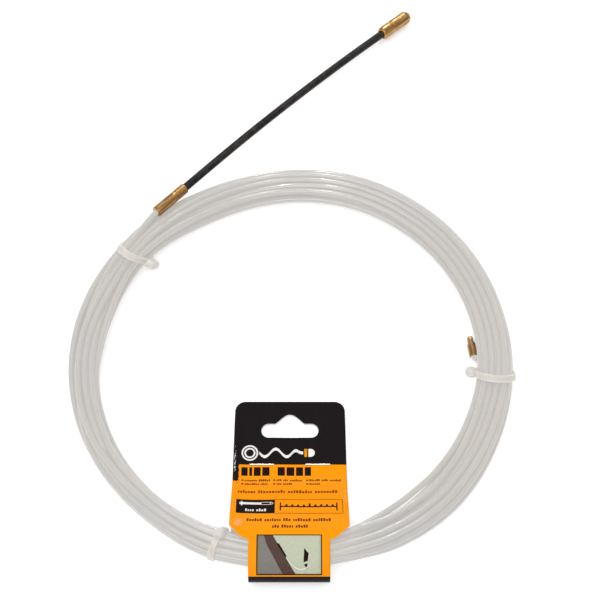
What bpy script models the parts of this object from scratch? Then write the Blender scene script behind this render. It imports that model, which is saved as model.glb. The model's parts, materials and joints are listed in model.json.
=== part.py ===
"""Hand-coiled nylon pulling tape (fish tape) with a sprung leader and a hang card.

Lengths are written in millimetres and scaled to metres by MM.
The coil lies flat on the plane z = 0, the hang card points along -Y from
the ring centre, and the leader runs off towards +X +Y.
"""
import math

import bmesh
import bpy
from mathutils import Matrix, Vector

MM = 0.001

# ---- tape and coil -------------------------------------------------------
TAPE_D = 3.0                  # round nylon tape
COIL_R = 97.6                 # radius of the bundle's middle line
COIL_OVAL = 1.2               # the hand-made ring is this much out of round
COIL_OVAL_AT = 38.0           # direction of its longer diameter, degrees
BOTTOM_FLAT = 0.35            # the bundle settles this far onto the table

# Bundle section round the ring:
# (angle in degrees, half width, half height, height of its middle,
# how far it stands outside the ring's oval).
TIE_LIFT = 1.3                # the bundle rides this high on a strap
CARD_AXIS_Z = 8.8             # middle of the bundle inside the card loop
SECTIONS = [
    (-110.0, 6.8, 7.0, 7.0 + TIE_LIFT, 0.0),
    (-102.0, 6.7, 7.0, CARD_AXIS_Z, 0.0),
    (-80.0, 6.9, 7.0, CARD_AXIS_Z, 0.0),
    (-72.0, 7.4, 6.9, 7.8, 0.0),
    (-63.0, 8.9, 6.1, 6.3, 0.0),
    (-45.0, 9.8, 5.5, 5.5 - BOTTOM_FLAT, 0.4),
    (-22.0, 9.2, 5.6, 5.6 - BOTTOM_FLAT, -0.1),
    (-5.0, 8.7, 5.8, 5.8 + TIE_LIFT, 0.0),
    (15.0, 8.9, 5.6, 5.6 - BOTTOM_FLAT, 0.2),
    (45.0, 9.8, 5.4, 5.4 - BOTTOM_FLAT, 1.7),
    (72.0, 10.2, 5.3, 5.3 - BOTTOM_FLAT, 3.1),
    (90.0, 9.9, 5.4, 5.4 - BOTTOM_FLAT, 2.5),
    (106.0, 9.2, 5.6, 5.6 - BOTTOM_FLAT, 0.8),
    (120.0, 8.7, 5.9, 5.9 - BOTTOM_FLAT, 0.0),
    (143.0, 7.6, 6.5, 6.5 + TIE_LIFT, 0.0),
    (165.0, 8.0, 6.3, 6.3 - BOTTOM_FLAT, 0.0),
    (190.0, 7.2, 6.8, 6.8 - BOTTOM_FLAT, 0.0),
    (228.0, 6.1, 7.4, 7.4 - BOTTOM_FLAT, -0.9),
]
COIL_STEPS = 108
COIL_SIDES = 24

# ---- leader: ferrule, spring, tip ---------------------------------------
FERRULE_START = Vector((-67.0, 77.9, 14.0))
FERRULE_END = Vector((-53.6, 93.0, 12.6))
FERRULE_D = 5.4
SPRING_END = Vector((49.2, 197.7, 5.0))
SPRING_STRETCH = 16.3         # length of the first stretch
SPRING_D = 4.2
SPRING_BORE = 2.8
SPRING_PARTS = 9
SPRING_GAP = 0.5              # clear space that lets neighbours bend
SPRING_SOCKET = 5.0           # depth of the spring inside ferrule and tip
TIP_D = 7.0
TIP_LENGTH = 21.0

# ---- eyelet on the tape's tail ------------------------------------------
EYELET_START = Vector((88.5, 3.2, 2.6))
EYELET_END = Vector((87.0, 13.8, 2.3))
EYELET_D = 4.1
EYE_PLATE = 2.4
EYE_HOLE = 2.2

# ---- cable ties ----------------------------------------------------------
# (name, ring angle, head angle round the bundle, slant and sweep of the loop:
# shift along the ring per height and per distance outward, length of the head).
STRAP_WIDTH = 2.6
STRAP_THICK = 1.0
STRAP_GAP = 0.2
HEAD_WIDE = 5.0
HEAD_TALL = 4.2
TIES = [
    ("tie_left", 143.0, 178.0, -0.72, 0.0, 5.6),
    ("tie_right", -5.0, 182.0, 0.85, 0.0, 5.6),
    ("tie_front", -109.0, 101.0, 0.0, 0.12, 4.2),
]

# ---- hang card -----------------------------------------------------------
CARD_THICK = 0.4
CARD_HINGE = Vector((0.0, -96.05, CARD_AXIS_Z))
CARD_TOP_Y = -20.4
CARD_FOLD_Y = -110.0
CARD_LOOP_HALF = 8.5          # sheet middle above and below the hinge axis
CARD_BAND_HALF = 18.0
CARD_WIDE_HALF = 26.7
CARD_TOP_HALF = 25.9
CARD_CORNER = 5.0
CARD_STAPLE_Y = -52.3
CARD_BACK_Z = 0.8             # back sheet at the staples
CARD_FRONT_Z = 1.5            # front sheet at the staples
HOLE_HALF = 13.4
HOLE_LOW_Y = -38.8
HOLE_BRIM = 7.0
HOLE_DOME_HALF = 6.2
HOLE_DOME = 4.7
STAPLE_X = 13.0
STAPLE_CROWN = 11.6
STAPLE_WIRE = 0.5

for old in list(bpy.data.objects):
    bpy.data.objects.remove(old, do_unlink=True)

scene = bpy.context.scene
parts = bpy.data.collections.new("fish_tape")
scene.collection.children.link(parts)
cutters = bpy.data.collections.new("cutters")
scene.collection.children.link(cutters)


# ---- helpers -------------------------------------------------------------
def make_material(name, colour, roughness, metallic=0.0, transmission=0.0):
    material = bpy.data.materials.new(name)
    material.use_nodes = True
    shader = material.node_tree.nodes["Principled BSDF"]
    shader.inputs["Base Color"].default_value = (*colour, 1.0)
    shader.inputs["Roughness"].default_value = roughness
    shader.inputs["Metallic"].default_value = metallic
    shader.inputs["Transmission Weight"].default_value = transmission
    return material


def place(obj, collection):
    for home in list(obj.users_collection):
        home.objects.unlink(obj)
    collection.objects.link(obj)
    if collection is cutters:
        obj.hide_render = True
        obj.display_type = "WIRE"
    return obj


def mesh_object(name, verts, edges, faces, collection):
    mesh = bpy.data.meshes.new(name)
    mesh.from_pydata([(x * MM, y * MM, z * MM) for x, y, z in verts], edges, faces)
    mesh.update()
    obj = bpy.data.objects.new(name, mesh)
    collection.objects.link(obj)
    return place(obj, collection)


def primitive(name, collection):
    obj = bpy.context.active_object
    obj.name = name
    obj.data.name = name
    return place(obj, collection)


def shade_smooth(obj, smooth=True):
    for polygon in obj.data.polygons:
        polygon.use_smooth = smooth


def along(direction):
    """Rotation that turns +Z onto the direction, keeping local +X level."""
    z = direction.normalized()
    x = Vector((0.0, 0.0, 1.0)).cross(z)
    x = x.normalized() if x.length > 1e-6 else Vector((1.0, 0.0, 0.0))
    y = z.cross(x)
    return Matrix((x, y, z)).transposed().to_4x4()


def lathe(name, loop, origin, direction, steps, closed):
    """Solid of revolution from (radius, height) pairs listed top to bottom."""
    count = len(loop)
    verts = [(radius, 0.0, height) for radius, height in loop]
    edges = [(i, i + 1) for i in range(count - 1)]
    if closed:
        edges.append((count - 1, 0))
    obj = mesh_object(name, verts, edges, [], parts)
    obj.matrix_world = Matrix.Translation(origin * MM) @ along(direction)
    screw = obj.modifiers.new("lathe", "SCREW")
    screw.angle = 2.0 * math.pi
    screw.steps = steps
    screw.render_steps = steps
    screw.axis = "Z"
    screw.use_merge_vertices = True
    screw.merge_threshold = 0.00001
    screw.use_smooth_shade = True
    screw.use_normal_calculate = True
    return obj


def boolean(obj, other, operation):
    mod = obj.modifiers.new(other.name, "BOOLEAN")
    mod.object = other
    mod.operation = operation
    mod.solver = "EXACT"
    return mod


def prism(name, outline, low, high, collection):
    """Upright prism over a counter-clockwise outline of (x, y) pairs."""
    count = len(outline)
    verts = [(x, y, low) for x, y in outline] + [(x, y, high) for x, y in outline]
    faces = [tuple(reversed(range(count))), tuple(range(count, 2 * count))]
    for i in range(count):
        j = (i + 1) % count
        faces.append((i, j, j + count, i + count))
    return mesh_object(name, verts, [], faces, collection)


def arc(cx, cy, radius, start, end, count):
    points = []
    for i in range(count + 1):
        a = math.radians(start + (end - start) * i / count)
        points.append((cx + radius * math.cos(a), cy + radius * math.sin(a)))
    return points


def smooth(t):
    return t * t * (3.0 - 2.0 * t)


def section(phi):
    """Half width, half height, middle height and outward shift of the bundle.

    A closed Catmull-Rom curve through the keys of SECTIONS.
    """
    first = SECTIONS[0][0]
    phi = (phi - first) % 360.0 + first
    count = len(SECTIONS)
    keys = []
    for lap in (-1, 0, 1):
        keys += [(key[0] + 360.0 * lap,) + key[1:] for key in SECTIONS]
    for i in range(count, 2 * count):
        before, here, there, after = keys[i - 1:i + 3]
        if here[0] <= phi <= there[0]:
            span = there[0] - here[0]
            t = (phi - here[0]) / span
            values = []
            for j in (1, 2, 3, 4):
                slope_in = (there[j] - before[j]) / (there[0] - before[0]) * span
                slope_out = (after[j] - here[j]) / (after[0] - here[0]) * span
                values.append(
                    (2 * t ** 3 - 3 * t * t + 1) * here[j] + (t ** 3 - 2 * t * t + t) * slope_in
                    + (3 * t * t - 2 * t ** 3) * there[j] + (t ** 3 - t * t) * slope_out)
            return values
    return list(SECTIONS[0][1:])


def ring_radius(phi):
    oval = COIL_OVAL * math.cos(math.radians(2.0 * (phi - COIL_OVAL_AT)))
    return COIL_R + oval + section(phi)[3]


def ring_point(phi, outward=0.0, height=0.0):
    radius = ring_radius(phi) + outward
    a = math.radians(phi)
    return Vector((radius * math.cos(a), radius * math.sin(a), height))


def tube(name, points, diameter, material):
    curve = bpy.data.curves.new(name, "CURVE")
    curve.dimensions = "3D"
    curve.bevel_depth = 0.5 * diameter * MM
    curve.bevel_resolution = 2
    curve.use_fill_caps = True
    spline = curve.splines.new("POLY")
    spline.points.add(len(points) - 1)
    for point, place_at in zip(spline.points, points):
        point.co = (*(place_at * MM), 1.0)
    curve.materials.append(material)
    obj = bpy.data.objects.new(name, curve)
    parts.objects.link(obj)
    return obj


def bezier(p0, p1, p2, p3, count):
    points = []
    for i in range(count + 1):
        t = i / count
        s = 1.0 - t
        points.append(p0 * s ** 3 + p1 * (3 * s * s * t) + p2 * (3 * s * t * t) + p3 * t ** 3)
    return points


def shift_origin(obj, point):
    """Move the origin to a point while the shape stays where it is."""
    target = Matrix.Translation(point * MM)
    obj.data.transform(target.inverted() @ obj.matrix_world)
    obj.matrix_world = target


nylon = make_material("nylon_milky", (0.80, 0.79, 0.76), 0.30, 0.0, 0.35)
nylon_tie = make_material("tie_white", (0.82, 0.79, 0.74), 0.38, 0.0, 0.20)
brass = make_material("brass_polished", (0.78, 0.55, 0.22), 0.22, 1.0)
steel_black = make_material("spring_black", (0.025, 0.025, 0.027), 0.35, 0.7)
steel_wire = make_material("staple_steel", (0.62, 0.62, 0.63), 0.30, 1.0)
card_print = make_material("card_orange_black", (0.96, 0.38, 0.02), 0.45)

# ---- the coiled tape -----------------------------------------------------
bpy.ops.mesh.primitive_torus_add(
    major_segments=COIL_STEPS, minor_segments=COIL_SIDES,
    major_radius=COIL_R * MM, minor_radius=0.4 * COIL_R * MM)
coil = primitive("tape_coil", parts)
for vertex in coil.data.vertices:
    x, y, z = vertex.co
    angle = math.degrees(math.atan2(y, x))
    turn = math.atan2(z, math.hypot(x, y) - COIL_R * MM)
    half_width, half_height, middle = section(angle)[:3]
    spot = ring_point(angle, half_width * math.cos(turn), 0.0)
    spot.z = max(0.0, middle + half_height * math.sin(turn))
    vertex.co = spot * MM
coil.data.update()
coil.data.materials.append(nylon)
shade_smooth(coil)

# ---- tape between the left tie and the ferrule --------------------------
ferrule_dir = (FERRULE_END - FERRULE_START).normalized()
lead_exit = ring_point(139.2, 4.3, 15.2)
lead_in = FERRULE_START + ferrule_dir * 9.0
lead_points = bezier(
    lead_exit,
    lead_exit + Vector((math.sin(math.radians(139.2)), -math.cos(math.radians(139.2)), -0.02)) * 3.5,
    FERRULE_START - ferrule_dir * 3.5,
    FERRULE_START,
    5)
lead_points.append(lead_in)
tape_lead = tube("tape_lead", lead_points, TAPE_D, nylon)

# ---- ferrule -------------------------------------------------------------
ferrule_long = (FERRULE_END - FERRULE_START).length
r_out = 0.5 * FERRULE_D
r_tape = 0.5 * TAPE_D + 0.1
r_spring = 0.5 * SPRING_D + 0.1
crimp_at = 0.68 * ferrule_long
floor_at = ferrule_long - SPRING_SOCKET - 0.4
ferrule = lathe("lead_ferrule", [
    (r_spring, ferrule_long),
    (r_out - 0.35, ferrule_long),
    (r_out, ferrule_long - 0.5),
    (r_out, crimp_at + 1.1),
    (r_out - 0.32, crimp_at + 0.7),
    (r_out - 0.32, crimp_at - 0.7),
    (r_out, crimp_at - 1.1),
    (r_out, 0.5),
    (r_out - 0.35, 0.0),
    (r_tape, 0.0),
    (r_tape, floor_at),
    (r_spring, floor_at + 0.3),
], FERRULE_START, ferrule_dir, 32, True)
ferrule.data.materials.append(brass)

# ---- leader spring, cut across so that it can bend ----------------------
# The first stretch continues the ferrule's line and the rest bows gently.
knots = [FERRULE_END, FERRULE_END + ferrule_dir * SPRING_STRETCH]
chord = SPRING_END - knots[1]
end_dir = 2.0 * chord * chord.dot(ferrule_dir) / chord.length_squared - ferrule_dir
knots += bezier(
    knots[1],
    knots[1] + ferrule_dir * (chord.length / 3.0),
    SPRING_END - end_dir * (chord.length / 3.0),
    SPRING_END,
    SPRING_PARTS - 1)[1:]
spring_r = 0.5 * SPRING_D
bore_r = 0.5 * SPRING_BORE
for k in range(SPRING_PARTS):
    start = knots[k]
    direction = knots[k + 1] - start
    low = 0.5 * SPRING_GAP
    high = direction.length - 0.5 * SPRING_GAP
    if k == 0:
        low = -SPRING_SOCKET
    if k == SPRING_PARTS - 1:
        high = direction.length + SPRING_SOCKET
    piece = lathe("leader_spring_%d" % (k + 1), [
        (bore_r, high),
        (spring_r - 0.15, high),
        (spring_r, high - 0.15),
        (spring_r, low + 0.15),
        (spring_r - 0.15, low),
        (bore_r, low),
    ], start, direction, 24, True)
    piece.data.materials.append(steel_black)

# ---- bullet tip ----------------------------------------------------------
last = knots[-1] - knots[-2]
base = last.length
tip_r = 0.5 * TIP_D
nose = []
for i in range(9):
    a = math.radians(90.0 - 90.0 * i / 8)
    nose.append((tip_r * math.cos(a), base + TIP_LENGTH - tip_r * 1.15 + tip_r * 1.15 * math.sin(a)))
nose[0] = (0.0, base + TIP_LENGTH)
tip = lathe("leader_tip", nose + [
    (tip_r, base + 8.2),
    (tip_r - 0.35, base + 7.8),
    (tip_r - 0.35, base + 6.8),
    (tip_r, base + 6.4),
    (tip_r, base + 1.6),
    (tip_r - 0.15, base + 0.6),
    (tip_r - 0.8, base),
    (spring_r + 0.1, base),
    (spring_r + 0.1, base + SPRING_SOCKET + 0.4),
    (0.0, base + SPRING_SOCKET + 0.4),
], knots[-2], last, 32, False)
tip.data.materials.append(brass)

# ---- tail of the tape and its eyelet ------------------------------------
eye_dir = (EYELET_END - EYELET_START).normalized()
eye_long = (EYELET_END - EYELET_START).length
tail_exit = ring_point(-1.7, -9.2, 3.6)
tail_points = bezier(
    tail_exit,
    tail_exit + Vector((0.0, 1.0, -0.1)) * 1.6,
    EYELET_START - eye_dir * 1.2,
    EYELET_START,
    4)
tail_points.append(EYELET_START + eye_dir * 4.5)
tape_tail = tube("tape_tail", tail_points, TAPE_D, nylon)

eye_r = 0.5 * EYELET_D
sleeve_end = eye_long - 4.2
eyelet = lathe("tail_eyelet", [
    (0.0, sleeve_end + 0.9),
    (0.5 * EYE_PLATE, sleeve_end + 0.9),
    (eye_r - 0.3, sleeve_end + 0.25),
    (eye_r, sleeve_end - 0.4),
    (eye_r, 0.4),
    (eye_r - 0.4, 0.0),
    (r_tape, 0.0),
    (r_tape, 5.0),
    (0.0, 5.0),
], EYELET_START, eye_dir, 32, False)
eyelet.data.materials.append(brass)
turned = Matrix.Translation(EYELET_START * MM) @ along(eye_dir)
bpy.ops.mesh.primitive_cylinder_add(vertices=32, radius=eye_r * MM, depth=EYE_PLATE * MM)
eye_disc = primitive("eye_disc", cutters)
# The eye's hole runs level, so the flat eye stands on edge.
eye_disc.matrix_world = (
    turned @ Matrix.Translation((0.0, 0.0, (eye_long - eye_r) * MM))
    @ Matrix.Rotation(math.radians(90.0), 4, "Y"))
bpy.ops.mesh.primitive_cube_add(size=1.0)
eye_neck = primitive("eye_neck", cutters)
neck_low = sleeve_end - 0.2
neck_high = eye_long - eye_r
eye_neck.matrix_world = (
    turned @ Matrix.Translation((0.0, 0.0, 0.5 * (neck_low + neck_high) * MM))
    @ Matrix.Diagonal((EYE_PLATE * MM, 1.98 * eye_r * MM, (neck_high - neck_low) * MM, 1.0)))
bpy.ops.mesh.primitive_cylinder_add(vertices=24, radius=0.5 * EYE_HOLE * MM, depth=8.0 * MM)
eye_hole = primitive("eye_hole", cutters)
eye_hole.matrix_world = eye_disc.matrix_world.copy()
boolean(eyelet, eye_neck, "UNION")
boolean(eyelet, eye_disc, "UNION")
boolean(eyelet, eye_hole, "DIFFERENCE")

# ---- cable ties ----------------------------------------------------------
for name, phi, head_turn, slant, sweep, head_long in TIES:
    half_width, half_height, middle = section(phi)[:3]
    a = math.radians(phi)
    outward = Vector((math.cos(a), math.sin(a), 0.0))
    up = Vector((0.0, 0.0, 1.0))
    frame = Matrix((outward, up, outward.cross(up))).transposed().to_4x4()
    frame = Matrix.Translation(ring_point(phi, 0.0, middle) * MM) @ frame
    inner_a = half_width + STRAP_GAP
    inner_b = half_height + STRAP_GAP
    lean = Matrix.Identity(4)
    lean[2][0] = sweep
    lean[2][1] = slant
    bpy.ops.mesh.primitive_cylinder_add(vertices=56, radius=1.0, depth=1.0)
    strap = primitive(name, parts)
    strap.data.transform(lean @ Matrix.Diagonal((
        (inner_a + STRAP_THICK) * MM, (inner_b + STRAP_THICK) * MM, STRAP_WIDTH * MM, 1.0)))
    strap.matrix_world = frame
    bpy.ops.mesh.primitive_cylinder_add(vertices=56, radius=1.0, depth=1.0)
    inside = primitive(name + "_inside", cutters)
    inside.data.transform(lean @ Matrix.Diagonal((inner_a * MM, inner_b * MM, 8.0 * MM, 1.0)))
    inside.matrix_world = frame
    # The head stands on the strap, its rounded end pointing away.
    t = math.radians(head_turn)
    normal = Vector((math.cos(t) / inner_a, math.sin(t) / inner_b, 0.0)).normalized()
    foot = Vector((inner_a * math.cos(t), inner_b * math.sin(t), 0.0))
    centre = foot + normal * (0.5 * head_long - 0.3)
    turn_head = Matrix((normal, Vector((0.0, 0.0, 1.0)).cross(normal), Vector((0.0, 0.0, 1.0))))
    bpy.ops.mesh.primitive_cube_add(size=1.0)
    head = primitive(name + "_head", cutters)
    head.data.transform(
        lean @ Matrix.Translation(centre * MM) @ turn_head.transposed().to_4x4()
        @ Matrix.Diagonal((head_long * MM, HEAD_TALL * MM, HEAD_WIDE * MM, 1.0)))
    head.matrix_world = frame
    bevel = head.modifiers.new("round", "BEVEL")
    bevel.width = 1.6 * MM
    bevel.segments = 4
    boolean(strap, head, "UNION")
    boolean(strap, inside, "DIFFERENCE")
    strap.data.materials.append(nylon_tie)

# ---- hang card -----------------------------------------------------------
hinge_y = CARD_HINGE.y
low_z = CARD_HINGE.z - CARD_LOOP_HALF
high_z = CARD_HINGE.z + CARD_LOOP_HALF
fold_half = hinge_y - 4.6 - CARD_FOLD_Y
profile = []
for i in range(5):
    profile.append((CARD_TOP_Y + (CARD_STAPLE_Y - 4.0 - CARD_TOP_Y) * i / 4, CARD_BACK_Z))
for i in range(1, 7):
    t = i / 6
    profile.append((CARD_STAPLE_Y - 4.0 - 14.0 * t, CARD_BACK_Z + (low_z - CARD_BACK_Z) * smooth(t)))
for i in range(17):
    a = math.radians(-90.0 - 180.0 * i / 16)
    profile.append((hinge_y - 4.6 + fold_half * math.cos(a), CARD_HINGE.z + CARD_LOOP_HALF * math.sin(a)))
front_from = hinge_y + 4.3
front_to = CARD_STAPLE_Y - 2.5
profile.append((front_from, high_z))
for i in range(1, 15):
    t = i / 14
    profile.append((front_from + (front_to - front_from) * t, high_z + (CARD_FRONT_Z - high_z) * smooth(t)))
for i in range(1, 5):
    profile.append((front_to + (CARD_TOP_Y - front_to) * i / 4, CARD_FRONT_Z))

columns = (-30.0, 30.0)
verts = [(x, y, z) for y, z in profile for x in columns]
faces = [(2 * i, 2 * i + 1, 2 * i + 3, 2 * i + 2) for i in range(len(profile) - 1)]
card = mesh_object("hang_card", verts, [], faces, parts)
sheet = card.modifiers.new("thickness", "SOLIDIFY")
sheet.thickness = CARD_THICK * MM
sheet.offset = 0.0
sheet.use_even_offset = True

shoulder_y = hinge_y + 8.8
band_y = hinge_y + 2.1
right_side = [(CARD_BAND_HALF, CARD_FOLD_Y - 3.0), (CARD_BAND_HALF, band_y)]
for i in range(1, 7):
    t = i / 6
    right_side.append((
        CARD_BAND_HALF + (CARD_WIDE_HALF - CARD_BAND_HALF) * t,
        band_y + (shoulder_y - band_y) * t ** 1.5))
right_side.append((CARD_TOP_HALF, CARD_TOP_Y - CARD_CORNER))
right_side += arc(CARD_TOP_HALF - CARD_CORNER, CARD_TOP_Y - CARD_CORNER, CARD_CORNER, 0, 90, 8)[1:]
left_side = [(-x, y) for x, y in reversed(right_side)]
outline = prism("card_outline", right_side + left_side, -5.0, 25.0, cutters)

brim_y = HOLE_LOW_Y + HOLE_BRIM
brim_r = 0.5 * HOLE_BRIM
hole = arc(HOLE_HALF - brim_r, HOLE_LOW_Y + brim_r, brim_r, -90, 90, 8)
dome = [(HOLE_DOME_HALF, brim_y)]
for i in range(1, 8):
    a = math.pi * i / 8
    dome.append((HOLE_DOME_HALF * math.cos(a), brim_y + HOLE_DOME * math.sin(a)))
hole += dome + [(-HOLE_DOME_HALF, brim_y)]
hole += arc(-HOLE_HALF + brim_r, HOLE_LOW_Y + brim_r, brim_r, 90, 270, 8)
hang_hole = prism("hang_hole", hole, -4.0, 24.0, cutters)
boolean(card, outline, "INTERSECT")
boolean(card, hang_hole, "DIFFERENCE")

# ---- staples: crown on the front, legs folded under the back -------------
wire_r = 0.5 * STAPLE_WIRE
crown_z = CARD_FRONT_Z + 0.5 * CARD_THICK + wire_r + 0.02
clinch_z = CARD_BACK_Z - 0.5 * CARD_THICK - wire_r - 0.02
for name, x in (("staple_left", -STAPLE_X), ("staple_right", STAPLE_X)):
    left = x - 0.5 * STAPLE_CROWN
    right = x + 0.5 * STAPLE_CROWN
    path = [
        Vector((left + 4.4, CARD_STAPLE_Y, clinch_z)),
        Vector((left + 0.3, CARD_STAPLE_Y, clinch_z)),
        Vector((left, CARD_STAPLE_Y, clinch_z + 0.3)),
        Vector((left, CARD_STAPLE_Y, crown_z - 0.3)),
        Vector((left + 0.3, CARD_STAPLE_Y, crown_z)),
        Vector((right - 0.3, CARD_STAPLE_Y, crown_z)),
        Vector((right, CARD_STAPLE_Y, crown_z - 0.3)),
        Vector((right, CARD_STAPLE_Y, clinch_z + 0.3)),
        Vector((right - 0.3, CARD_STAPLE_Y, clinch_z)),
        Vector((right - 4.4, CARD_STAPLE_Y, clinch_z)),
    ]
    wire = tube(name + "_wire", path, STAPLE_WIRE, steel_wire)
    graph = bpy.context.evaluated_depsgraph_get()
    solid = bpy.data.meshes.new_from_object(wire.evaluated_get(graph))
    bpy.data.objects.remove(wire, do_unlink=True)
    clean = bmesh.new()
    clean.from_mesh(solid)
    bmesh.ops.remove_doubles(clean, verts=clean.verts, dist=0.000001)
    clean.to_mesh(solid)
    clean.free()
    staple = bpy.data.objects.new(name, solid)
    parts.objects.link(staple)
    shade_smooth(staple)
    for end, leg_x in (("a", left), ("b", right)):
        bpy.ops.mesh.primitive_cylinder_add(
            vertices=12, radius=(wire_r + 0.12) * MM, depth=6.0 * MM,
            location=(leg_x * MM, CARD_STAPLE_Y * MM, 1.0 * MM))
        slot = primitive("slot_%s_%s" % (name, end), cutters)
        boolean(card, slot, "DIFFERENCE")
    shift_origin(staple, CARD_HINGE)
card.data.materials.append(card_print)
shift_origin(card, CARD_HINGE)

# ---- origin under the middle of the whole object -------------------------
bpy.context.view_layer.update()
graph = bpy.context.evaluated_depsgraph_get()
corners = []
for obj in parts.objects:
    shape = obj.evaluated_get(graph)
    corners += [shape.matrix_world @ vertex.co for vertex in shape.to_mesh().vertices]
    shape.to_mesh_clear()
middle_x = 0.5 * (min(c.x for c in corners) + max(c.x for c in corners))
middle_y = 0.5 * (min(c.y for c in corners) + max(c.y for c in corners))
to_origin = Matrix.Translation((-middle_x, -middle_y, 0.0))
for obj in list(parts.objects) + list(cutters.objects):
    obj.matrix_world = to_origin @ obj.matrix_world
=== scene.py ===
"""Looks of a hand-coiled nylon pulling tape: tape, leader, cable ties and hang card.

Shapes are written in millimetres from the ring's centre on the table, with the
card towards -Y, and spot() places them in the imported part's frame.
Angles round the ring are in degrees, counted from +X towards +Y.
"""
import json
import math

import bmesh
import bpy
import numpy as np
from mathutils import Matrix, Vector


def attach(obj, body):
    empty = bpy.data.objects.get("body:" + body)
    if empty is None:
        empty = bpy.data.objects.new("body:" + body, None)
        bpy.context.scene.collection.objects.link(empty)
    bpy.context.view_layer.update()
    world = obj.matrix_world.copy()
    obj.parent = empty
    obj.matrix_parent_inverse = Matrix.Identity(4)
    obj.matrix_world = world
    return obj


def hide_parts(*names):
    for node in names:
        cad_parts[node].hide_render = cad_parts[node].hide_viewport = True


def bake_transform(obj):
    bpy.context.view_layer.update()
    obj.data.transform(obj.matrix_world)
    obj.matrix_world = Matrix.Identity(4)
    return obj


MM = 0.001

# ---- driving dimensions, as in the part ----
TAPE_D = 3.0
COIL_R = 97.6
COIL_OVAL = 1.2
COIL_OVAL_AT = 38.0
BOTTOM_FLAT = 0.35
TIE_LIFT = 1.3
CARD_AXIS_Y = -96.05
CARD_AXIS_Z = 8.8

# Bundle section round the ring:
# (angle, half width, half height, height of its middle,
# how far it stands outside the ring's oval).
SECTIONS = [
    (-110.0, 6.8, 7.0, 7.0 + TIE_LIFT, 0.0),
    (-102.0, 6.7, 7.0, CARD_AXIS_Z, 0.0),
    (-80.0, 6.9, 7.0, CARD_AXIS_Z, 0.0),
    (-72.0, 7.4, 6.9, 7.8, 0.0),
    (-63.0, 8.9, 6.1, 6.3, 0.0),
    (-45.0, 9.8, 5.5, 5.5 - BOTTOM_FLAT, 0.4),
    (-22.0, 9.2, 5.6, 5.6 - BOTTOM_FLAT, -0.1),
    (-5.0, 8.7, 5.8, 5.8 + TIE_LIFT, 0.0),
    (15.0, 8.9, 5.6, 5.6 - BOTTOM_FLAT, 0.2),
    (45.0, 9.8, 5.4, 5.4 - BOTTOM_FLAT, 1.7),
    (72.0, 10.2, 5.3, 5.3 - BOTTOM_FLAT, 3.1),
    (90.0, 9.9, 5.4, 5.4 - BOTTOM_FLAT, 2.5),
    (106.0, 9.2, 5.6, 5.6 - BOTTOM_FLAT, 0.8),
    (120.0, 8.7, 5.9, 5.9 - BOTTOM_FLAT, 0.0),
    (143.0, 7.6, 6.5, 6.5 + TIE_LIFT, 0.0),
    (165.0, 8.0, 6.3, 6.3 - BOTTOM_FLAT, 0.0),
    (190.0, 7.2, 6.8, 6.8 - BOTTOM_FLAT, 0.0),
    (228.0, 6.1, 7.4, 7.4 - BOTTOM_FLAT, -0.9),
]

FERRULE_START = Vector((-67.0, 77.9, 14.0))
FERRULE_END = Vector((-53.6, 93.0, 12.6))
FERRULE_D = 5.4
SPRING_END = Vector((49.2, 197.7, 5.0))
SPRING_STRETCH = 16.3
SPRING_D = 4.2
SPRING_PARTS = 9
SPRING_SOCKET = 5.0
WIRE_D = 0.82
WIRE_PITCH = 0.90
WIRE_SIDES = 14               # points in one turn of the wire
TIP_D = 7.0
TIP_LENGTH = 21.0
TIP_GROOVE = 0.16

EYELET_START = Vector((88.5, 3.2, 2.6))
EYELET_END = Vector((87.0, 13.8, 2.3))
EYELET_D = 4.1
EYE_PLATE = 2.4
EYE_HOLE = 2.2
EYE_FLAT = 4.6                # plate with the neck that leads into it
EYE_NECK = 1.3

STRAP_WIDTH = 2.8
STRAP_THICK = 1.0
STRAP_GAP = 0.2
HEAD_WIDE = 5.5
HEAD_TALL = 4.8
HEAD_ROUND = 2.3
# (name, ring angle, head angle round the bundle, slant and sweep of the loop:
# shift along the ring per height and per distance outward, length of the head)
TIES = [
    ("tie_left", 143.0, 178.0, -0.85, 0.0, 6.8),
    ("tie_right", -5.0, 182.0, 0.85, 0.0, 5.6),
    ("tie_front", -109.0, 105.0, 0.0, 0.12, 4.2),
]

CARD_THICK = 0.4
CARD_TOP_Y = -20.4
CARD_FOLD_Y = -110.0
CARD_LOOP_HALF = 8.5
CARD_BAND_HALF = 18.0         # below CARD_BAND_Y
CARD_WIDE_HALF = 26.7         # at CARD_SHOULDER_Y
CARD_TOP_HALF = 25.9
CARD_BAND_Y = CARD_AXIS_Y + 2.1
CARD_SHOULDER_Y = CARD_AXIS_Y + 8.8
CARD_CORNER = 5.0
CARD_STAPLE_Y = -52.3
CARD_SPLIT_Y = -52.3          # black head above, orange below
CARD_DARK_Y = -109.0          # orange above, black round the fold and back
CARD_STIFF_Y = -96.0          # below it the fold keeps the card flat across
CARD_BACK_Z = 0.8
CARD_FRONT_Z = 1.5
HOLE_HALF = 13.4
HOLE_LOW_Y = -38.8
HOLE_BRIM = 7.0
HOLE_DOME_HALF = 6.944
HOLE_DOME = 4.7
PRINT_THICK = 0.02
PRINT_STEP = 0.03             # height of one layer of print over another
SHEET_STEP = 0.8              # spacing of the card's points down the sheet
SHEET_STEP_X = 1.6

# ---- how the tape was coiled ----
TURNS = 16
STATIONS = 120                # places round one turn where the strands are packed
LAY_SEED = 4
LAY_ROUNDS = 700
LAY_GENTLE = 160              # the last rounds, which smooth less
LAY_START = 141.0             # ring angle where the tape comes onto the bundle
LAY_END = 5.0                 # angle before the last turn's end where the tail leaves
HELD_AT = (143.0, -5.0, -110.0, -102.0, -90.0, -80.0)   # by a tie or the card

# ---- camera ----
CAMERA_AIM = Vector((4.72, 35.44, 0.0))
CAMERA_ELEVATION = 61.5
CAMERA_DISTANCE = 700.0
CAMERA_LENS = 85.0

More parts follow.
